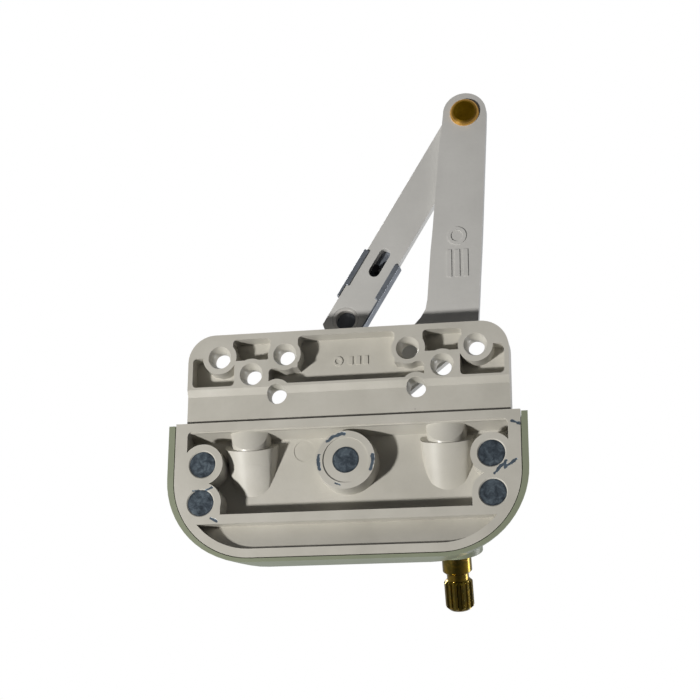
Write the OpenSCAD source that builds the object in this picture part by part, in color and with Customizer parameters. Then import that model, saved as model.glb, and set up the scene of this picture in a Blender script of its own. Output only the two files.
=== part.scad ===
// Window sash crank operator: cast base with worm drive, sash arm, link and slide clip.
// Millimetres, +Z up, base underside on Z = 0, arm pivot axis on X = Y = 0, room side is -Y.

/* [Base] */
// half width of the base body
base_hw = 52.5; // [48:0.1:58]
// distance from the pivot axis to the front edge of the base
base_front = 28.8; // [26:0.1:30]
// corner radius at the front of the base
base_r = 24; // [18:0.5:26]
// underside of the web between the pockets
floor_z = 7.6; // [6:0.1:8]
// top of the base web
plate_z = 8.8; // [8.2:0.1:9]

/* [Flange] */
// half width of the mounting flange
flange_hw = 49.6; // [46:0.1:52]
// distance from the pivot axis to the rear edge of the flange
flange_rear = 41.3; // [39:0.1:44]
// top face of the flange
flange_top = 8.0; // [7:0.1:8.6]
// radius of the screw clearance in the flange holes
screw_r = 2.5; // [2.2:0.05:2.8]

/* [Cover] */
// wall thickness of the cover
cover_t = 1.1; // [0.9:0.05:1.3]
// height of the cover
cover_h = 28.5; // [28.3:0.1:30]

/* [Drive] */
// distance from the arm pivot to the crank shaft axis
centre_d = 30; // [30:0.1:30]
// height of the crank shaft axis beside the pivot
shaft_z = 10.0; // [9.8:0.05:10.2]
// outer radius of the splined end
spline_r = 4.365; // [4.1:0.005:4.6]
// number of splines
spline_n = 13; // [11:1:16]

/* [Arms] */
// thickness of the sash arm
arm_t = 3.0; // [2.6:0.1:3]
// thickness of the link
link_t = 2.8; // [2.2:0.1:2.8]
// half width of the link
link_hw = 5.85; // [5:0.05:6]

/* [Hidden] */
$fn = 64;

post_xy = [[43.8, 0], [44.0, -11.8], [-43.8, 0], [-44.0, -11.8]];
// top of each post: the front pair ends in a low foot under the sloping cover
post_top = [18.4, 10.6, 18.4, 10.6];
boss_r = [5.2, 4.5, 5.2, 4.5];
post_r = 4.0;
hole_a = [39.6, 33.9];
hole_b = [29.5, 28.1];
hole_c = [19.05, 33.9];
hole_d = [21.5, 21.6];
gear_z0 = 9.35;
gear_t = 3.0;
arm_z0 = gear_z0 + gear_t;
arm_z1 = arm_z0 + arm_t;
roof_z = 15.9;
roof_t = 2.5;
link_z0 = 16.0;
link_z1 = link_z0 + link_t;
rivet_xy = [-36.35, 116.95];
stud_xy = [3.1, 49.5];
link_len = norm(stud_xy - rivet_xy);
link_a = atan2(stud_xy[1] - rivet_xy[1], stud_xy[0] - rivet_xy[0]);

// gearing
teeth = 39;
r_gear = 25.6;
r_worm = 4.4;
lead = 3.861;
add = 0.9;
ded = 1.15;
gear_twist = 0.9065;
pitch_a = 360 / teeth;

module mx() { children(); mirror([1, 0, 0]) children(); }
module shaft_at(a = 0) { translate([-centre_d, 0, shaft_z]) rotate([60, 0, 0]) translate([0, 0, a]) children(); }
module rod(a0, a1, r) { shaft_at(a0) cylinder(h = a1 - a0, r = r); }
module tube(a0, a1, r0, r1) { difference() { rod(a0, a1, r1); rod(a0 - 1, a1 + 1, r0); } }
module ring(z0, z1, r0, r1) { translate([0, 0, z0]) difference() { cylinder(h = z1 - z0, r = r1); translate([0, 0, -1]) cylinder(h = z1 - z0 + 2, r = r0); } }
module along_x(w) { rotate([90, 0, 90]) translate([0, 0, -w]) linear_extrude(2 * w) children(); }
module along_y(y0, y1) { translate([0, y1, 0]) rotate([90, 0, 0]) linear_extrude(y1 - y0) children(); }
module in_link() { translate([rivet_xy[0], rivet_xy[1], 0]) rotate([0, 0, link_a]) children(); }

// plan outline of the base, front corners rounded
module plan(hw, front, r, rear) {
  translate([-hw, -front + r]) square([2 * hw, rear + front - r]);
  translate([-hw + r, -front]) square([2 * (hw - r), r + 1]);
  mx() intersection() {
    translate([hw - r, -front + r]) circle(r = r);
    translate([hw - r - 1, -front - 1]) square([r + 2, r + 1]);
  }
}

// rectangle with rounded corners
module rsq(p, s, r = 1.3) {
  translate([p[0] + r, p[1]]) square([s[0] - 2 * r, s[1]]);
  translate([p[0], p[1] + r]) square([s[0], s[1] - 2 * r]);
  for (i = [r, s[0] - r], j = [r, s[1] - r]) translate([p[0] + i, p[1] + j]) circle(r = r);
}

module flange_plan() {
  r = 8.5;
  translate([-flange_hw, 10]) square([2 * flange_hw, flange_rear - r - 10]);
  translate([-flange_hw + r, 10]) square([2 * (flange_hw - r), flange_rear - 10]);
  mx() translate([flange_hw - r, flange_rear - r]) circle(r = r);
}

module main_pocket() {
  difference() {
    rsq([-48.8, -15.6], [97.6, 26.0], 1.5);
    for (p = post_xy) translate(p) circle(r = 6.3);
    mx() translate([43.8, -15.7]) square([6, 18.6]);
    mx() translate([37.9, -15.7]) square([7, 3.9]);
  }
}

module strip_pocket() {
  intersection() {
    translate([0, 0, -1]) linear_extrude(7) plan(base_hw - 2.6, base_front - 2.6, base_r - 2.6, 10);
    along_x(60) polygon([[-18.4, -1], [-18.4, 4.5], [-26.3, 1.15], [-26.3, -1]]);
  }
}

module flange_pockets() {
  mx() {
    difference() {
      rsq([34.9, 24.6], [13.2, 9.4]);
      translate(hole_a) circle(r = 5.3);
      translate(hole_b) circle(r = 5.3);
    }
    difference() {
      rsq([23.6, 32.6], [11.9, 6.9]);
      translate(hole_a) circle(r = 5.3);
      translate(hole_c) circle(r = 5.3);
      translate(hole_b) circle(r = 5.0);
    }
  }
  difference() {
    union() {
      rsq([-15, 24.7], [30, 14.9]);
      rsq([-24, 24.7], [48, 4.9]);
    }
    mx() translate(hole_c) circle(r = 5.0);
    mx() translate(hole_d) circle(r = 4.6);
    mx() translate(hole_b) circle(r = 5.3);
  }
}

module flange_holes() {
  mx() {
    for (p = [hole_a, hole_b, hole_c]) translate(p) {
      translate([0, 0, 0.6]) cylinder(h = 3.0, r1 = 3.6, r2 = screw_r);
      translate([0, 0, -1]) cylinder(h = 1.61, r = 3.6);
      translate([0, 0, 3.5]) cylinder(h = 5, r = screw_r);
      translate([0, 0, flange_top - 2.1]) cylinder(h = 2.2, r1 = screw_r, r2 = screw_r + 2.2);
    }
    translate(hole_d) {
      translate([0, 0, 1.8]) cylinder(h = 2.6, r1 = 3.05, r2 = screw_r);
      translate([0, 0, -1]) cylinder(h = 2.81, r = 3.05);
      translate([0, 0, 4.3]) cylinder(h = 5, r = screw_r);
      translate([0, 0, flange_top - 2.1]) cylinder(h = 2.2, r1 = screw_r, r2 = screw_r + 2.2);
    }
  }
}

// swelling over the worm and the rear journal, crowned rather than round
module seat() {
  intersection() {
    union() {
      shaft_at(-7.9) cylinder(h = 19, r1 = 8.1, r2 = 7.0);
      rod(11, 20, 7.0);
    }
    shaft_at(-10) translate([0, 5.6, 0]) cylinder(h = 32, r = 12.1);
  }
  intersection() {
    rod(-15, -7, 6.0);
    translate([-centre_d, 20, 10.1]) rotate([90, 0, 0]) cylinder(h = 40, r = 9.5);
  }
}

module base_casting() {
  color([0.72, 0.70, 0.66]) {
    difference() {
      union() {
        // body with pockets
        difference() {
          intersection() {
            union() {
              linear_extrude(1.6) plan(base_hw, base_front, base_r, 13);
              translate([0, 0, 1.5]) linear_extrude(3.1) plan(base_hw - 0.1, base_front - 0.2, base_r + 2, 13);
              translate([0, 0, 4.5]) linear_extrude(plate_z - 4.5) plan(51.4, base_front - 0.5, base_r + 2.5, 13);
            }
            along_y(-40, 20) polygon([[-base_hw, -1], [base_hw, -1], [base_hw, 1.5], [51.0, plate_z], [51.0, 10], [-51.0, 10], [-51.0, plate_z], [-base_hw, 1.5]]);
          }
          difference() {
            translate([0, 0, -1]) linear_extrude(floor_z + 1) main_pocket();
            // drafted rear wall
            along_x(52) polygon([[10.6, 0], [10.6, 9], [10.2, 9], [8.6, 8], [10.45, 0]]);
          }
          // round ejector mark in the pocket floor
          translate([13.9, 4.9, floor_z - 0.1]) cylinder(h = 0.24, r = 3.3);
          strip_pocket();
        }
        // flange with pockets
        difference() {
          translate([0, 0, 0.6]) linear_extrude(flange_top - 0.6) flange_plan();
          along_x(60) polygon([[13.0, -1], [26.6, -1], [21.8, 1.8], [13.0, 1.8]]);
          translate([0, 0, -1]) linear_extrude(7.0) flange_pockets();
        }
        // pivot boss
        translate([0, 0, 1.0]) cylinder(h = floor_z - 0.9, r1 = 8.95, r2 = 9.3);
        // shaft seats, one per hand
        intersection() {
          union() {
            seat();
            mirror([1, 0, 0]) seat();
          }
          translate([-48, -20, 0.3]) cube([96, 32, plate_z - 0.3]);
        }
        // cast marks in the middle recess of the flange
        for (i = [0:2]) translate([-6 + 2.4 * i, 31.2, 5.7]) cube([1.4, 2.6, 0.4]);
        translate([3.4, 32.5, 5.7]) difference() { cylinder(h = 0.4, r = 1.5); translate([0, 0, -1]) cylinder(h = 3, r = 0.9); }
      }
      // posts
      for (p = post_xy) translate([p[0], p[1], -1]) cylinder(h = 12, r = post_r);
      for (p = post_xy) translate([p[0], p[1], -0.01]) cylinder(h = 0.3, r1 = post_r + 0.35, r2 = post_r);
      translate([0, 0, -1]) cylinder(h = 12, r = post_r);
      translate([0, 0, -1]) cylinder(h = 2.35, r = 7.0);
      // worm troughs and rear journal bores
      rod(-7.4, 30, 5.7);
      rod(-12.3, -7, 2.65);
      mirror([1, 0, 0]) { rod(-7.4, 30, 5.7); rod(-12.3, -7, 2.65); }
      flange_holes();
    }
  }
}

module gear_housing() {
  color([0.55, 0.58, 0.60])
  difference() {
    union() {
      translate([0, 0, roof_z]) linear_extrude(roof_t) {
        translate([-44, -12]) square([88, 17]);
        mx() translate(post_xy[0]) circle(r = 5.2);
        circle(r = 11);
      }
      for (i = [0:3]) translate([post_xy[i][0], post_xy[i][1], plate_z]) cylinder(h = min(post_top[i], roof_z + 0.1) - plate_z, r = boss_r[i]);
      mx() translate([38.8, -11.8, plate_z]) cube([5, 11.8, roof_z - plate_z + 0.1]);
      intersection() {
        union() {
          rod(-7.9, 23.5, 6.9);
          translate([-36.9, -14, plate_z]) cube([13.8, 19.5, 9.6]);
        }
        translate([-60, -40, plate_z]) cube([120, 45.5, 40]);
      }
    }
    for (p = post_xy) translate([p[0], p[1], 0]) cylinder(h = 30, r = post_r);
    cylinder(h = 30, r = post_r);
    rod(-12, 30, 5.7);
    // room for the toothed sector and the arm
    translate([0, 0, plate_z - 1]) cylinder(h = gear_z0 + gear_t + 0.35 - plate_z + 1, r = 27.1);
    translate([0, 0, plate_z - 1]) cylinder(h = roof_z - plate_z + 1, r = 22.2);
  }
}

module housing_posts() {
  color([0.42, 0.46, 0.50])
  for (i = [0:3]) translate([post_xy[i][0], post_xy[i][1], 0.25]) cylinder(h = post_top[i] - 0.25, r = post_r);
}

module pivot_post() {
  color([0.42, 0.46, 0.50])
  translate([0, 0, 1.22]) cylinder(h = roof_z + roof_t - 1.22, r = post_r);
}

// cover sections from the rim to the crown: height, half width, front, corner radius,
// then for the inner face the fall and the step in at the sides, front and corners
cover_s = [
  [0, 54.7, 30.2, 26, 2, 1.6, 1, 1.45],
  [1.5, 54.4, 30.2, 26, 0, 1.6, 1, 1.45],
  [5, 53.8, 30.2, 27.2, 0.1, 1.3, 1, 1],
  [9, 53.0, 30.05, 28.4, 0.2, 1.05, 1, 0.8],
  [13, 52.15, 28.6, 27.0, 0.3, 1.02, 0.95, 0.8],
  [17, 51.2, 26.0, 25.0, 0.4, 1.02, 0.85, 0.8],
  [20.5, 50.0, 23.6, 22.4, 0.5, 1, 0.8, 0.8],
  [23.5, 48.6, 21.1, 19.4, 0.6, 0.95, 0.75, 0.7],
  [26, 46.8, 18.5, 16.4, 0.7, 0.85, 0.6, 0.5],
  [27.6, 45.0, 16.3, 14.4, 0.85, 0.7, 0.5, 0.3],
  [cover_h, 42.6, 13.8, 12, 1, 0.3, 0, 0]];

// solid under the cover skin, o inside the outer face, open to the given rear line
module cover_form(o, rear) {
  hull() for (c = cover_s)
    translate([0, 0, c[0] - c[4] * o])
      linear_extrude(0.01) plan(c[1] - o * c[5], c[2] - o * c[6], c[3] - o * c[7], rear);
}

module cover() {
  color([0.55, 0.58, 0.50])
  difference() {
    union() {
      intersection() { cover_form(0, 13); translate([-60, -40, 0]) cube([120, 60, cover_h]); }
      rod(12, 27.8, 8.2);
      shaft_at(12) cylinder(h = 12.5, r1 = 10.6, r2 = 8.2);
    }
    cover_form(cover_t, 13 - cover_t);
    intersection() {
      cover_form(cover_t, 22);
      translate([-60, -1, -5]) cube([120, 30, 21]);
    }
    rod(0, 26.7, 7.15);
    rod(0, 30, 5.0);
    translate([-60, 12.4, -1]) cube([120, 3, 17]);
  }
}

module spline_2d() {
  n = spline_n;
  polygon([for (i = [0:4 * n - 1])
    let (k = floor(i / 4), j = i % 4, p = 360 / n,
         a = k * p + [-0.30, -0.16, 0.16, 0.30][j] * p,
         r = (j == 0 || j == 3) ? spline_r - 0.62 : spline_r)
    [r * cos(a), r * sin(a)]]);
}

module crank_shaft() {
  color([0.66, 0.56, 0.25]) {
    rod(-12.0, 9.6, 2.6);
    rod(9.5, 33.8, 4.5);
    shaft_at(33.8) cylinder(h = 0.5, r1 = 4.5, r2 = 4.0);
    rod(34.2, 36.8, 3.35);
    shaft_at(36.6) intersection() {
      linear_extrude(9.5) spline_2d();
      union() {
        cylinder(h = 0.9, r1 = 3.5, r2 = 4.4);
        translate([0, 0, 0.9]) cylinder(h = 7.5, r = 4.4);
        translate([0, 0, 8.4]) cylinder(h = 1.1, r1 = 4.4, r2 = 3.3);
      }
    }
  }
}

module worm_2d() {
  n = 24;
  w0 = 47.3;
  w1 = 117.5;
  polygon([for (i = [0:n - 1])
    let (a = i * 360 / n, b = a > 180 ? 360 - a : a,
         r = b < w0 ? r_worm + add : b > w1 ? r_worm - ded :
             r_worm + add - (add + ded) * (b - w0) / (w1 - w0))
    [r * cos(a), r * sin(a)]]);
}

module worm() {
  color([0.62, 0.55, 0.32])
  shaft_at(0) difference() {
    translate([0, 0, -6.8]) rotate([0, 0, -6.8 * 360 / lead])
      linear_extrude(height = 16.3, twist = -16.3 * 360 / lead, slices = 66, convexity = 8) worm_2d();
    translate([0, 0, -8]) cylinder(h = 20, r = 2.6);
  }
}

module front_bushing() { color([0.60, 0.47, 0.25]) tube(10.2, 20.0, 4.55, 5.7); }
module front_thrust_washer() { color([0.55, 0.56, 0.58]) tube(9.6, 10.15, 4.6, 5.6); }
module rear_thrust_washer() { color([0.55, 0.56, 0.58]) tube(-7.4, -6.88, 2.7, 5.3); }
module shaft_retaining_ring() { color([0.30, 0.31, 0.33]) tube(20.05, 20.85, 4.8, 5.7); }
module shaft_seal_ring() {
  color([0.08, 0.08, 0.08])
  shaft_at(21.8) rotate_extrude() translate([5.1, 0]) circle(r = 0.57);
}

// teeth between two angles, angles measured from -X towards -Y
module gear_2d(n0, n1) {
  tt = 1.171;
  tr = 3.157;
  r_tip = r_gear + add;
  r_root = r_gear - ded;
  polygon(concat(
    [for (i = [n0:n1], j = [0:3])
      let (a = 180 + (i + 0.5) * pitch_a + [-tr, -tt, tt, tr][j], r = (j == 0 || j == 3) ? r_root : r_tip)
      [r * cos(a), r * sin(a)]],
    [for (i = [n1:-1:n0]) let (a = 180 + (i + 0.5) * pitch_a) [19 * cos(a), 19 * sin(a)]]));
}

sector_n0 = -3;
sector_n1 = 6;

module gear_sector() {
  color([0.50, 0.50, 0.50])
  difference() {
    union() {
      translate([0, 0, gear_z0]) rotate([0, 0, (shaft_z - gear_z0) * gear_twist])
        linear_extrude(height = gear_t, twist = gear_t * gear_twist, slices = 4, convexity = 6)
          gear_2d(sector_n0, sector_n1);
      translate([0, 0, gear_z0]) linear_extrude(gear_t) {
        circle(r = 12);
        polygon(concat([[0, 0]], [for (i = [sector_n0:sector_n1]) let (a = 180 + (i + 0.5) * pitch_a) [21.5 * cos(a), 21.5 * sin(a)]]));
      }
    }
    translate([0, 0, gear_z0 - 1]) cylinder(h = gear_t + 2, r = 5.5);
    for (a = [165, 200, 235]) rotate([0, 0, a]) translate([9.2, 0, gear_z0 - 1]) cylinder(h = 10, r = 1.6);
  }
}

module sector_rivets() {
  color([0.45, 0.45, 0.46])
  for (a = [165, 200, 235]) rotate([0, 0, a]) translate([9.2, 0, gear_z0]) cylinder(h = gear_t + arm_t, r = 1.6);
}

module arm_plan() {
  // straight part, elbow and hub; (s, t) points turned into the plan frame
  rotate([0, 0, 180]) {
    polygon([[29.35, -116.95], [28.8, -112.0], [27.95, -106.0], [27.4, -99.0], [26.4, -87.0], [25.5, -76.7],
      [24.8, -69.9], [24.2, -61.6], [23.6, -53.3], [23.0, -50.2], [21.4, -47.5], [19.3, -45.2],
      [-8.2, -10.1], [0, 0], [12.95, -1.2], [17.9, -23.5], [30.2, -33.4], [36.44, -38.58], [37.9, -40.1], [39.4, -44.74],
      [39.9, -52.3], [40.35, -60.5], [40.9, -68.8], [41.3, -75.6], [41.8, -85.8], [42.25, -94.4],
      [42.7, -103.2], [43.15, -111.8], [43.35, -116.95]]);
    translate([31.4, -44.74]) circle(r = 8);
    translate([36.35, -116.95]) circle(r = 7.0);
    circle(r = 13);
  }
}

module main_arm() {
  color([0.64, 0.63, 0.61])
  difference() {
    union() {
      translate([0, 0, arm_z0]) linear_extrude(arm_t) arm_plan();
      // generic identification bars
      for (i = [0:2]) translate([-36.6 + 2.6 * i, 60.5, arm_z0 - 0.25]) cube([1.5, 9, 0.35]);
      translate([-33.2, 74.2, arm_z0 - 0.25]) difference() { cylinder(h = 0.35, r = 3.0); translate([0, 0, -1]) cylinder(h = 3, r = 1.9); }
    }
    translate([0, 0, arm_z0 - 1]) cylinder(h = arm_t + 2, r = 5.5);
    translate([rivet_xy[0], rivet_xy[1], arm_z0 - 1]) cylinder(h = arm_t + 2, r = 2.8);
    for (a = [165, 200, 235]) rotate([0, 0, a]) translate([9.2, 0, arm_z0 - 1]) cylinder(h = 10, r = 1.6);
  }
}

module pivot_bushing() { color([0.60, 0.47, 0.25]) ring(gear_z0, arm_z1, 4.05, 5.5); }
module hub_washer_lower() { color([0.86, 0.84, 0.78]) ring(plate_z, 9.3, 4.0, 8.6); }
module hub_washer_upper() { color([0.86, 0.84, 0.78]) ring(arm_z1 + 0.05, roof_z, 4.0, 8.6); }

module arm_rivet() {
  color([0.72, 0.56, 0.22])
  translate([rivet_xy[0], rivet_xy[1], 0]) {
    translate([0, 0, arm_z0]) rotate_extrude() polygon([[0, 0], [4.7, 0], [4.7, -0.3], [4.55, -0.65], [4.15, -1.05], [3.4, -1.38], [2.3, -1.55], [0, -1.6]]);
    translate([0, 0, arm_z0 - 0.1]) cylinder(h = link_z1 - arm_z0 + 0.3, r = 2.8);
    translate([0, 0, link_z1 + 0.06]) cylinder(h = 0.6, r = 4.2);
    translate([0, 0, link_z1 + 0.66]) cylinder(h = 0.8, r1 = 4.2, r2 = 3.2);
  }
}

module rivet_wave_washer() { color([0.55, 0.56, 0.58]) translate([rivet_xy[0], rivet_xy[1], 0]) ring(arm_z1, arm_z1 + 0.25, 2.8, 5.2); }
module rivet_spacer() { color([0.86, 0.84, 0.78]) translate([rivet_xy[0], rivet_xy[1], 0]) ring(arm_z1 + 0.25, link_z0 - 0.05, 2.8, 5.5); }

slot_a0 = 51.4;
slot_a1 = 61.6;
slot_w = 1.8;

module link_arm() {
  color([0.62, 0.62, 0.60])
  in_link() difference() {
    translate([0, 0, link_z0]) linear_extrude(link_t) {
      translate([0, -link_hw]) square([link_len, 2 * link_hw]);
      circle(r = 6.6);
      intersection() {
        translate([link_len - 1, -link_hw]) square([7.6, 2 * link_hw]);
        translate([link_len - 0.9, 0]) circle(r = 8.0);
      }
    }
    translate([0, 0, link_z0 - 1]) cylinder(h = link_t + 2, r = 2.85);
    translate([link_len, 0, link_z0 - 1]) cylinder(h = link_t + 2, r = 4.2);
    translate([slot_a0 + slot_w, 0, link_z0 - 1]) cylinder(h = link_t + 2, r = slot_w);
    translate([slot_a1 - slot_w, 0, link_z0 - 1]) cylinder(h = link_t + 2, r = slot_w);
    translate([slot_a0 + slot_w, -slot_w, link_z0 - 1]) cube([slot_a1 - slot_a0 - 2 * slot_w, 2 * slot_w, link_t + 2]);
  }
}

module stud_bushing() {
  color([0.30, 0.30, 0.30])
  in_link() translate([link_len, 0, 0]) ring(link_z0, link_z1, 3.2, 4.2);
}

module slide_clip() {
  color([0.62, 0.66, 0.72])
  in_link() difference() {
    union() {
      // top plate, side walls of unequal length, inturned lips
      translate([50.2, -link_hw + 0.4, link_z1 + 0.06]) cube([33.8, 2 * link_hw - 0.8, 0.7]);
      translate([54.6, -link_hw - 0.75, link_z1 + 0.06]) cube([26.4, 2 * link_hw + 1.5, 0.7]);
      translate([54.6, -link_hw - 0.75, link_z0 - 0.56]) cube([26.4, 0.69, link_t + 1.2]);
      translate([54.6, link_hw + 0.06, link_z0 - 0.56]) cube([17.9, 0.69, link_t + 1.2]);
      mirror([0, 1, 0]) translate([54.6, link_hw - 0.95, link_z0 - 0.56]) cube([13.3, 1.5, 0.5]);
      translate([54.6, link_hw - 0.95, link_z0 - 0.56]) cube([13.3, 1.5, 0.5]);
    }
    translate([58.6, 0, link_z1 - 1]) cylinder(h = 4, r = 1.2);
  }
}

module clip_detent() {
  color([0.20, 0.20, 0.21])
  in_link() translate([58.6, 0, 0]) {
    translate([0, 0, link_z0 - 0.25]) cylinder(h = link_t + 1.0, r = 1.2);
  }
}

base_casting();
gear_housing();
housing_posts();
pivot_post();
cover();
crank_shaft();
worm();
front_bushing();
front_thrust_washer();
rear_thrust_washer();
shaft_retaining_ring();
shaft_seal_ring();
gear_sector();
sector_rivets();
main_arm();
pivot_bushing();
hub_washer_lower();
hub_washer_upper();
arm_rivet();
rivet_wave_washer();
rivet_spacer();
link_arm();
stud_bushing();
slide_clip();
clip_detent();
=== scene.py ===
import bpy, bmesh, math
from mathutils import Vector, Matrix

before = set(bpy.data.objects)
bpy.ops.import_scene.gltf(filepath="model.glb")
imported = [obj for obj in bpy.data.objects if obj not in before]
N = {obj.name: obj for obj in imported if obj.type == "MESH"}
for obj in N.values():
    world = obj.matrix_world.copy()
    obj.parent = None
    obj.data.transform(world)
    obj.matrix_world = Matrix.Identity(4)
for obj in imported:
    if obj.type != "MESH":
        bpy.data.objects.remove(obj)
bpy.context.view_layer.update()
MM = 0.001


# ---------------------------------------------------------------- node helpers
class Graph:
    def __init__(self, name):
        self.mat = bpy.data.materials.new(name)
        self.mat.use_nodes = True
        self.t = self.mat.node_tree
        self.t.nodes.clear()
        self.out = self.t.nodes.new("ShaderNodeOutputMaterial")
        self.bsdf = self.t.nodes.new("ShaderNodeBsdfPrincipled")
        self.t.links.new(self.bsdf.outputs[0], self.out.inputs[0])
        self.co = self.t.nodes.new("ShaderNodeTexCoord").outputs["Object"]

    def link(self, a, b):
        self.t.links.new(a, b)

    def put(self, sock, v):
        if isinstance(v, (int, float)):
            sock.default_value = v
        elif isinstance(v, (tuple, list, Vector)):
            if sock.type == "RGBA" and len(v) == 3:
                v = (*v, 1.0)
            sock.default_value = v
        else:
            self.link(v, sock)

    def math(self, op, a, b=0.0, c=None, clamp=False):
        n = self.t.nodes.new("ShaderNodeMath")
        n.operation = op
        n.use_clamp = clamp
        self.put(n.inputs[0], a)
        self.put(n.inputs[1], b)
        if c is not None:
            self.put(n.inputs[2], c)
        return n.outputs[0]

    def vmath(self, op, a, b=(0, 0, 0), scale=None, out=0):
        n = self.t.nodes.new("ShaderNodeVectorMath")
        n.operation = op
        self.put(n.inputs[0], a)
        self.put(n.inputs[1], b)
        if scale is not None:
            self.put(n.inputs["Scale"], scale)
        return n.outputs[out]

    def noise(self, scale, detail=3.0, rough=0.5, dist=0.0, vec=None, stretch=None):
        v = vec if vec is not None else self.co
        if stretch is not None:
            v = self.vmath("MULTIPLY", v, stretch)
        n = self.t.nodes.new("ShaderNodeTexNoise")
        n.inputs["Scale"].default_value = scale
        n.inputs["Detail"].default_value = detail
        n.inputs["Roughness"].default_value = rough
        n.inputs["Distortion"].default_value = dist
        self.link(v, n.inputs["Vector"])
        return n.outputs["Fac"]

    def voronoi(self, scale, vec=None, feature="F1", rand=1.0):
        n = self.t.nodes.new("ShaderNodeTexVoronoi")
        n.feature = feature
        n.inputs["Scale"].default_value = scale
        n.inputs["Randomness"].default_value = rand
        self.link(vec if vec is not None else self.co, n.inputs["Vector"])
        return n.outputs["Distance"]

    def ramp(self, fac, lo, hi, a=0.0, b=1.0):
        n = self.t.nodes.new("ShaderNodeMapRange")
        n.interpolation_type = "SMOOTHSTEP"
        self.put(n.inputs[0], fac)
        n.inputs[1].default_value = lo
        n.inputs[2].default_value = hi
        n.inputs[3].default_value = a
        n.inputs[4].default_value = b
        return n.outputs[0]

    def colors(self, fac, stops):
        n = self.t.nodes.new("ShaderNodeValToRGB")
        self.put(n.inputs[0], fac)
        r = n.color_ramp
        while len(r.elements) < len(stops):
            r.elements.new(0.5)
        for e, (p, c) in zip(r.elements, stops):
            e.position = p
            e.color = (*c, 1.0)
        return n.outputs[0]

    def mix(self, fac, a, b, mode="MIX"):
        n = self.t.nodes.new("ShaderNodeMix")
        n.data_type = "RGBA"
        n.blend_type = mode
        self.put(n.inputs[0], fac)
        self.put(n.inputs[6], a)
        self.put(n.inputs[7], b)
        return n.outputs[2]

    def bump(self, height, strength, distance, normal=None):
        n = self.t.nodes.new("ShaderNodeBump")
        n.inputs["Strength"].default_value = strength
        n.inputs["Distance"].default_value = distance
        self.put(n.inputs["Height"], height)
        if normal is not None:
            self.link(normal, n.inputs["Normal"])
        return n.outputs[0]

    def edge(self, radius, lo=0.90, hi=0.995):
        """1 on convex and concave edges, 0 on flats."""
        b = self.t.nodes.new("ShaderNodeBevel")
        b.samples = 6
        b.inputs["Radius"].default_value = radius
        g = self.t.nodes.new("ShaderNodeNewGeometry")
        d = self.vmath("DOT_PRODUCT", b.outputs[0], g.outputs["Normal"], out=1)
        return self.ramp(d, lo, hi, 1.0, 0.0)

    def segment(self, a, b, plane=True):
        """distance in mm from a segment given in mm in the row frame (x, y)."""
        A = Vector((a[0], a[1], 0)) * MM
        B = Vector((b[0], b[1], 0)) * MM
        D = B - A
        p = self.vmath("SUBTRACT", self.vmath("MULTIPLY", self.co, (1, 1, 0)), tuple(A))
        h = self.math("DIVIDE", self.vmath("DOT_PRODUCT", p, tuple(D), out=1), max(D.length_squared, 1e-12), clamp=True)
        q = self.vmath("SCALE", tuple(D), scale=h)
        d = self.vmath("LENGTH", self.vmath("SUBTRACT", p, q), out=1)
        return self.math("MULTIPLY", d, 1000.0)

    def z_mm(self):
        s = self.t.nodes.new("ShaderNodeSeparateXYZ")
        self.link(self.co, s.inputs[0])
        return self.math("MULTIPLY", s.outputs[2], 1000.0)

    def set(self, **kw):
        for k, v in kw.items():
            self.put(self.bsdf.inputs[k.replace("_", " ")], v)
        return self.mat


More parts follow.
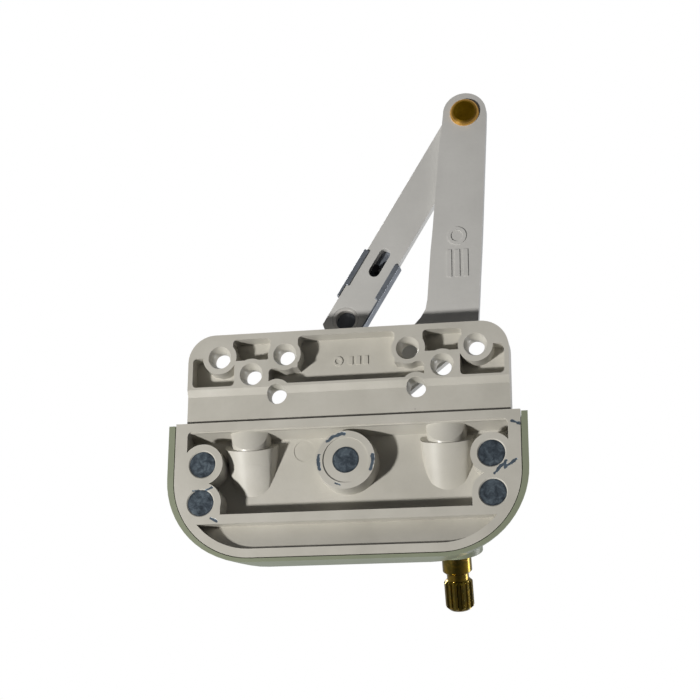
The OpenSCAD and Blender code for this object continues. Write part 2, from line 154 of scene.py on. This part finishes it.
def paint(name, base, dark, light, chip=None, chips=(), ring=False, rough=0.38, specks=0.5, wear_and_highlight=0.35, marks=0.12):
    g = Graph(name)
    cloud = g.noise(55.0, 4.0, 0.55)
    fine = g.noise(900.0, 3.0, 0.6)
    col = g.colors(cloud, [(0.30, dark), (0.52, base), (0.75, light)])
    col = g.mix(g.ramp(fine, 0.35, 0.75, 0.0, 0.10), col, tuple(c * 0.80 for c in base))
    # dark specks and small dings
    sp = g.ramp(g.voronoi(150.0), 0.022, 0.040, 1.0, 0.0)
    sp = g.math("MULTIPLY", sp, g.ramp(g.noise(45.0, 2.0), 0.56, 0.66))
    sp = g.math("MULTIPLY", sp, specks)
    col = g.mix(sp, col, (0.10, 0.095, 0.09))
    # handling marks, long and faint
    sc = g.ramp(g.noise(60.0, 5.0, 0.65, 0.4, stretch=(1.0, 6.0, 1.0)), 0.60, 0.74, 0.0, marks)
    col = g.mix(sc, col, tuple(c * 0.70 for c in base))
    # lighter band on convex and concave edges: partly rubbed paint wear, partly a painted edge highlight
    rub_and_highlight = g.math("MULTIPLY", g.edge(0.5 * MM), g.ramp(g.noise(260.0, 3.0, 0.6), 0.42, 0.62))
    rub_and_highlight = g.math("MULTIPLY", rub_and_highlight, wear_and_highlight)
    metal = 0.0
    if chip is not None:
        m = g.math("MULTIPLY", g.edge(0.35 * MM, 0.80, 0.97), g.ramp(g.noise(70.0, 4.0, 0.6), 0.66, 0.70))
        jag = g.noise(750.0, 4.0, 0.65)
        for a, b, w in chips:
            d = g.segment(a, b)
            d = g.math("ADD", d, g.math("MULTIPLY", g.math("SUBTRACT", jag, 0.5), 2.6 * w))
            m = g.math("MAXIMUM", m, g.ramp(d, w * 0.70, w * 0.86, 1.0, 0.0))
        if ring:
            m = g.math("MULTIPLY", m, g.ramp(g.z_mm(), 1.9, 2.3, 1.0, 0.0))
        tone = g.colors(g.noise(600.0, 4.0, 0.7), [(0.3, tuple(c * 0.75 for c in chip)), (0.7, tuple(min(1, c * 1.35) for c in chip))])
        col = g.mix(m, col, tone)
        metal = g.math("MULTIPLY", m, 0.55)
        height = g.math("SUBTRACT", 0.5, g.math("MULTIPLY", m, 0.5))
    else:
        height = 0.5
    # edges mixed towards a lighter paint colour: rubbed wear plus painted edge highlight
    col = g.mix(rub_and_highlight, col, tuple(min(1.0, c * 1.22) for c in base))
    peel = g.math("ADD", g.math("MULTIPLY", g.noise(420.0, 2.0, 0.5), 0.6), g.math("MULTIPLY", g.noise(1600.0, 2.0, 0.5), 0.25))
    nrm = g.bump(peel, 0.22, 0.00010)
    if chip is not None:
        nrm = g.bump(height, 0.5, 0.00012, nrm)
    r = g.math("ADD", rough, g.math("MULTIPLY", g.math("SUBTRACT", g.noise(120.0, 4.0, 0.6), 0.5), 0.22))
    return g.set(Base_Color=col, Roughness=r, Metallic=metal, Normal=nrm)


def metal(name, stops, rough=0.3, scale=300.0, stretch=(1, 1, 1), bump=0.25, dist=0.00006, rvar=0.25, edge_highlight=0.3, metallic=1.0, highlight_col=None):
    g = Graph(name)
    n1 = g.noise(scale, 5.0, 0.62, 0.3, stretch=stretch)
    col = g.colors(n1, stops)
    # painted edge highlight: edges mixed towards a brighter colour than the metal
    e = g.math("MULTIPLY", g.edge(0.3 * MM), edge_highlight)
    col = g.mix(e, col, highlight_col or tuple(min(1.0, c * 1.5 + 0.08) for c in stops[-1][1]))
    r = g.math("ADD", rough, g.math("MULTIPLY", g.math("SUBTRACT", g.noise(scale * 0.4, 4.0, 0.6), 0.5), rvar))
    nrm = g.bump(g.noise(scale * 3, 3.0, 0.6, stretch=stretch), bump, dist)
    return g.set(Base_Color=col, Roughness=r, Metallic=metallic, Normal=nrm)


def srgb(r, g, b):
    f = lambda c: (c / 255 / 12.92) if c / 255 <= 0.04045 else ((c / 255 + 0.055) / 1.055) ** 2.4
    return (f(r), f(g), f(b))


def rivet():
    """domed brass head: brass crown, with a painted highlight as a bright ring round the shoulder"""
    g = Graph("rivet_brass")
    flat = g.vmath("SUBTRACT", g.vmath("MULTIPLY", g.co, (1, 1, 0)), (-36.35 * MM, 116.95 * MM, 0))
    d = g.math("MULTIPLY", g.vmath("LENGTH", flat, out=1), 1000.0)
    d = g.math("ADD", d, g.math("MULTIPLY", g.math("SUBTRACT", g.noise(300.0, 3.0), 0.5), 0.5))
    tone = g.colors(g.noise(220.0, 5.0, 0.6, 0.3), [(0.3, srgb(150, 112, 12)), (0.55, srgb(186, 142, 26)), (0.8, srgb(214, 170, 52))])
    # painted highlight: bright ring 3.3 to 4.3 mm from the rivet axis
    col = g.mix(g.ramp(d, 3.3, 4.3), tone, srgb(246, 190, 98))
    r = g.math("ADD", 0.19, g.math("MULTIPLY", g.math("SUBTRACT", g.noise(160.0, 4.0, 0.6), 0.5), 0.14))
    nrm = g.bump(g.noise(500.0, 3.0, 0.6), 0.2, 0.00005)
    return g.set(Base_Color=col, Roughness=r, Metallic=0.88, Normal=nrm)


CHIP = srgb(104, 118, 132)
POSTS = [(43.8, 0), (44.0, -11.8), (-43.8, 0), (-44.0, -11.8), (0, 0)]


def arc(a0, a1, r):
    """segments of a chip along the pivot boss ring; angles as seen from below, in degrees"""
    out = []
    steps = 3
    for i in range(steps):
        p, q = (math.radians(a0 + (a1 - a0) * (i + k) / steps) for k in (0, 1))
        out.append(((-r * math.cos(p), r * math.sin(p)), (-r * math.cos(q), r * math.sin(q)), 0.62))
    return out


CHIPS = (
    arc(92, 132, 8.1) + arc(168, 200, 8.3) + arc(-22, 8, 8.3)
    + [((2.9, -7.1), (1.6, -7.6), 0.5),
       ((46.4, -8.0), (43.2, -8.2), 0.42), ((43.2, -8.2), (40.6, -7.2), 0.36),
       ((40.6, -16.7), (38.8, -17.6), 0.45),
       ((-45.2, -5.7), (-48.0, -2.6), 0.50), ((-48.0, -2.6), (-47.6, -4.6), 0.45), ((-47.6, -4.6), (-51.0, -2.2), 0.50),
       ((-50.0, 9.4), (-52.6, 8.4), 0.55), ((-46.3, -3.9), (-44.6, -6.2), 0.38)]
)

M = {}
M["stone"] = paint("stone_paint", srgb(192, 189, 180), srgb(183, 180, 171), srgb(199, 196, 188), chip=CHIP, chips=CHIPS, ring=True, rough=0.33)
M["sage"] = paint("sage_paint", srgb(137, 143, 122), srgb(133, 139, 118), srgb(141, 147, 126), rough=0.36, marks=0.05, specks=0.35)
M["arm"] = paint("arm_paint", srgb(196, 195, 192), srgb(190, 189, 186), srgb(201, 200, 197), rough=0.34, specks=0.9)
M["brass"] = rivet()
M["yellow"] = metal("yellow_plate", [(0.25, srgb(78, 68, 26)), (0.42, srgb(150, 122, 46)), (0.58, srgb(112, 100, 46)), (0.72, srgb(176, 138, 66)), (0.9, srgb(96, 102, 56))], rough=0.17, scale=380.0, rvar=0.22)
# clip: strong painted edge highlight, edges mixed towards near-white
M["clip"] = metal("clip_zinc", [(0.3, srgb(112, 117, 126)), (0.7, srgb(136, 142, 151))], rough=0.30, scale=260.0, edge_highlight=0.85, highlight_col=srgb(225, 232, 240), metallic=0.4)
M["zinc"] = metal("bare_zinc", [(0.25, srgb(98, 104, 110)), (0.5, srgb(124, 130, 136)), (0.8, srgb(150, 154, 158))], rough=0.48, scale=160.0, bump=0.5, dist=0.00015)
M["steel"] = metal("plain_steel", [(0.3, srgb(118, 119, 122)), (0.7, srgb(160, 161, 164))], rough=0.34, scale=220.0)
M["spring"] = metal("spring_black", [(0.3, srgb(36, 36, 38)), (0.7, srgb(62, 62, 65))], rough=0.38, scale=240.0)
M["bronze"] = metal("sintered_bronze", [(0.3, srgb(126, 88, 46)), (0.7, srgb(168, 122, 70))], rough=0.45, scale=500.0, bump=0.5)


def plastic(name, base, rough=0.45, var=0.12):
    g = Graph(name)
    col = g.colors(g.noise(90.0, 4.0, 0.6), [(0.3, tuple(c * (1 - var) for c in base)), (0.7, tuple(min(1, c * (1 + var)) for c in base))])
    # painted edge highlight: edges mixed towards a lighter colour
    col = g.mix(g.math("MULTIPLY", g.edge(0.3 * MM), 0.3), col, tuple(min(1.0, c * 1.3 + 0.02) for c in base))
    nrm = g.bump(g.noise(1200.0, 2.0, 0.5), 0.2, 0.00008)
    r = g.math("ADD", rough, g.math("MULTIPLY", g.math("SUBTRACT", g.noise(200.0, 3.0), 0.5), 0.2))
    return g.set(Base_Color=col, Roughness=r, Normal=nrm)


M["acetal"] = plastic("acetal", srgb(222, 216, 200))
M["rubber"] = plastic("seal_rubber", srgb(34, 34, 35), 0.6)
M["bush"] = plastic("bushing_grey", srgb(186, 184, 180), 0.5)


def staked():
    g = Graph("staked_zinc")
    flat = g.vmath("MULTIPLY", g.co, (1, 1, 0))
    d = None
    for x, y in POSTS:
        k = g.vmath("LENGTH", g.vmath("SUBTRACT", flat, (x * MM, y * MM, 0)), out=1)
        d = k if d is None else g.math("MINIMUM", d, k)
    d = g.math("MULTIPLY", d, 1000.0)
    mottle = g.noise(520.0, 6.0, 0.68, 0.6)
    col = g.colors(mottle, [(0.28, srgb(52, 60, 68)), (0.46, srgb(78, 88, 98)), (0.60, srgb(98, 110, 120)), (0.78, srgb(122, 134, 142))])
    # darker ring at each post head's edge, beyond about 3.4 mm from its centre: painted shade of the gap round the head
    edge_shade = g.ramp(g.math("ADD", d, g.math("MULTIPLY", g.math("SUBTRACT", g.noise(420.0, 3.0), 0.5), 1.2)), 3.4, 4.0)
    col = g.mix(g.math("MULTIPLY", edge_shade, 0.6), col, srgb(44, 50, 56))
    h = g.noise(420.0, 5.0, 0.7)
    nrm = g.bump(h, 0.7, 0.00022)
    r = g.math("ADD", 0.42, g.math("MULTIPLY", g.math("SUBTRACT", mottle, 0.5), 0.5))
    return g.set(Base_Color=col, Roughness=r, Metallic=0.55, Normal=nrm)


M["staked"] = staked()

USE = {
    "base_casting": "stone", "gear_housing": "zinc", "housing_posts": "staked", "pivot_post": "staked", "cover": "sage",
    "crank_shaft": "yellow", "worm": "yellow", "front_bushing": "bronze", "front_thrust_washer": "steel",
    "rear_thrust_washer": "steel", "shaft_retaining_ring": "spring", "shaft_seal_ring": "rubber", "gear_sector": "steel",
    "sector_rivets": "steel", "main_arm": "arm", "pivot_bushing": "bronze", "hub_washer_lower": "acetal",
    "hub_washer_upper": "acetal", "arm_rivet": "brass", "rivet_wave_washer": "steel", "rivet_spacer": "acetal",
    "link_arm": "arm", "stud_bushing": "bush", "slide_clip": "clip", "clip_detent": "spring",
}
for n, k in USE.items():
    if n in N:
        N[n].data.materials.clear()
        N[n].data.materials.append(M[k])
        for p in N[n].data.polygons:
            p.material_index = 0


def soften(node, width, segments=3, angle=28):
    """rounded edges on a CAD piece, by modifiers only"""
    o = N[node]
    w = o.modifiers.new("weld", "WELD")
    w.merge_threshold = 0.000004
    d = o.modifiers.new("planar", "DECIMATE")
    d.decimate_type = "DISSOLVE"
    d.angle_limit = math.radians(0.4)
    b = o.modifiers.new("bevel", "BEVEL")
    b.width = width * MM
    b.segments = segments
    b.limit_method = "ANGLE"
    b.angle_limit = math.radians(angle)
    b.use_clamp_overlap = True
    b.miter_outer = "MITER_ARC"
    b.harden_normals = False
    s = o.modifiers.new("smooth", "NODES") if False else None
    for p in o.data.polygons:
        p.use_smooth = True
    wn = o.modifiers.new("wn", "WEIGHTED_NORMAL")
    wn.keep_sharp = True
    wn.weight = 80


soften("base_casting", 0.55)
soften("main_arm", 0.35)
soften("link_arm", 0.35)
soften("slide_clip", 0.20)
soften("cover", 0.35, 3, 34)
soften("gear_housing", 0.5)
soften("gear_sector", 0.10, 2)
soften("stud_bushing", 0.2, 2)
soften("crank_shaft", 0.12, 2)

# ---------------------------------------------------------------- camera
R = ((0.9827, 0.0054, -0.1851), (0.0530, 0.9496, 0.3090), (0.1774, -0.3135, 0.9329))
C = (87.77, -118.54, 453.89)
turn = lambda v: Vector((-v[0], v[1], -v[2]))
right, up, back = (turn(r) for r in R)
m = Matrix((right, up, back)).transposed().to_4x4()
m.translation = turn(C) * MM
cam_data = bpy.data.cameras.new("camera")
cam_data.sensor_width = 36.0
cam_data.lens = 1600.0 / 700.0 * 36.0
cam_data.clip_start = 0.01
cam_data.clip_end = 20.0
cam = bpy.data.objects.new("camera", cam_data)
bpy.context.scene.collection.objects.link(cam)
cam.matrix_world = m
bpy.context.scene.camera = cam


# ---------------------------------------------------------------- light, floor, world
def area(name, at, to, size, power, color=(1, 1, 1)):
    d = bpy.data.lights.new(name, "AREA")
    d.shape = "DISK"
    d.size = size
    d.energy = power
    d.color = color
    o = bpy.data.objects.new(name, d)
    bpy.context.scene.collection.objects.link(o)
    o.location = at
    o.rotation_mode = "QUATERNION"
    o.rotation_quaternion = (Vector(at) - Vector(to)).to_track_quat("Z", "Y")
    return o


aim = Vector((0, 0.02, 0.01))
key_dir = Vector((0.60, -0.42, -0.68)).normalized()
area("key_below", aim + key_dir * 0.9, aim, 0.07, 8.9, (1.0, 0.985, 0.955))
area("top_left", (0.62, 0.55, 0.55), aim, 0.5, 6.5)
area("top_right", (-0.70, -0.30, 0.50), aim, 0.5, 5.0)

world = bpy.data.worlds.new("studio")
bpy.context.scene.world = world
world.use_nodes = True
wt = world.node_tree
wt.nodes.clear()
wo = wt.nodes.new("ShaderNodeOutputWorld")
lp = wt.nodes.new("ShaderNodeLightPath")
white = wt.nodes.new("ShaderNodeBackground")
white.inputs[0].default_value = (1, 1, 1, 1)
white.inputs[1].default_value = 1.0
soft = wt.nodes.new("ShaderNodeBackground")
tc = wt.nodes.new("ShaderNodeTexCoord")
sx = wt.nodes.new("ShaderNodeSeparateXYZ")
wt.links.new(tc.outputs["Generated"], sx.inputs[0])
cr = wt.nodes.new("ShaderNodeValToRGB")
mr = wt.nodes.new("ShaderNodeMapRange")
mr.inputs[1].default_value = -1.0
mr.inputs[2].default_value = 1.0
wt.links.new(sx.outputs[2], mr.inputs[0])
wt.links.new(mr.outputs[0], cr.inputs[0])
cr.color_ramp.elements[0].position = 0.12
cr.color_ramp.elements[0].color = (0.032, 0.031, 0.031, 1)
cr.color_ramp.elements[1].position = 0.6
cr.color_ramp.elements[1].color = (0.42, 0.43, 0.45, 1)
wt.links.new(cr.outputs[0], soft.inputs[0])
soft.inputs[1].default_value = 1.0
mx = wt.nodes.new("ShaderNodeMixShader")
wt.links.new(lp.outputs["Is Camera Ray"], mx.inputs[0])
wt.links.new(soft.outputs[0], mx.inputs[1])
wt.links.new(white.outputs[0], mx.inputs[2])
wt.links.new(mx.outputs[0], wo.inputs[0])

me = bpy.data.meshes.new("floor")
s = 3.0
me.from_pydata([(-s, -s, 0), (s, -s, 0), (s, s, 0), (-s, s, 0)], [], [(0, 1, 2, 3)])
floor = bpy.data.objects.new("floor", me)
bpy.context.scene.collection.objects.link(floor)
floor.location = (0, 0, -0.0004)
fm = bpy.data.materials.new("pale_floor")
fm.use_nodes = True
ft = fm.node_tree
ft.nodes.clear()
fo = ft.nodes.new("ShaderNodeOutputMaterial")
fd = ft.nodes.new("ShaderNodeBsdfDiffuse")
fd.inputs[0].default_value = (0.62, 0.62, 0.615, 1)
fe = ft.nodes.new("ShaderNodeEmission")
fe.inputs[0].default_value = (1.0, 1.0, 0.99, 1)
fe.inputs[1].default_value = 0.30
fa = ft.nodes.new("ShaderNodeAddShader")
ft.links.new(fd.outputs[0], fa.inputs[0])
ft.links.new(fe.outputs[0], fa.inputs[1])
ftr = ft.nodes.new("ShaderNodeBsdfTransparent")
fg = ft.nodes.new("ShaderNodeNewGeometry")
fx = ft.nodes.new("ShaderNodeMixShader")
ft.links.new(fg.outputs["Backfacing"], fx.inputs[0])
ft.links.new(fa.outputs[0], fx.inputs[1])
ft.links.new(ftr.outputs[0], fx.inputs[2])
ft.links.new(fx.outputs[0], fo.inputs[0])
me.materials.append(fm)
floor.visible_diffuse = False
floor.visible_glossy = False
floor.visible_transmission = False
floor.visible_shadow = False

bpy.context.scene.view_settings.view_transform = "Standard"
bpy.context.scene.view_settings.look = "None"
